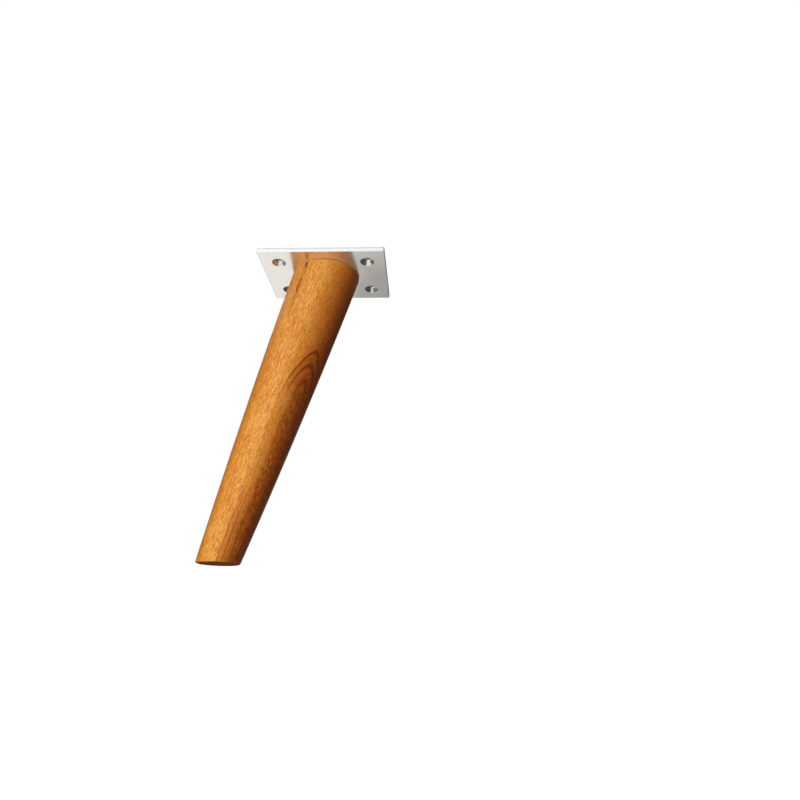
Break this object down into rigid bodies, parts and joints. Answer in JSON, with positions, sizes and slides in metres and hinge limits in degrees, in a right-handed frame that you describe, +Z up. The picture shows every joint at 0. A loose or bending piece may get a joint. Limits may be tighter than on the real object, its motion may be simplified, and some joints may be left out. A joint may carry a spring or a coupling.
{
  "type": "splayed tapered furniture leg",
  "caption": "Round tapered hardwood leg, cut at a slant at both ends so that it leans out on a flat foot, under a rectangular steel plate with countersunk holes at its corners.",
  "frame": {"origin": "centre of the mounting plate's upper face, which goes against the furniture", "axes": "+Z up into the furniture, +X along the plate's long side, the leg leans out towards -X"},
  "size_m": [0.1093, 0.06, 0.2032],
  "materials": {
    "leg_wood": "satin lacquered warm orange-brown hardwood with fine dark pores",
    "plate_steel": "fine satin brushed stainless steel",
    "screw_zinc": "bright zinc plated steel"
  },
  "bodies": {
    "root": {"wooden_leg": "leg_wood", "mounting_plate": "plate_steel", "leg_screw_1": "screw_zinc", "leg_screw_2": "screw_zinc", "leg_screw_3": "screw_zinc"}
  },
  "joints": []
}
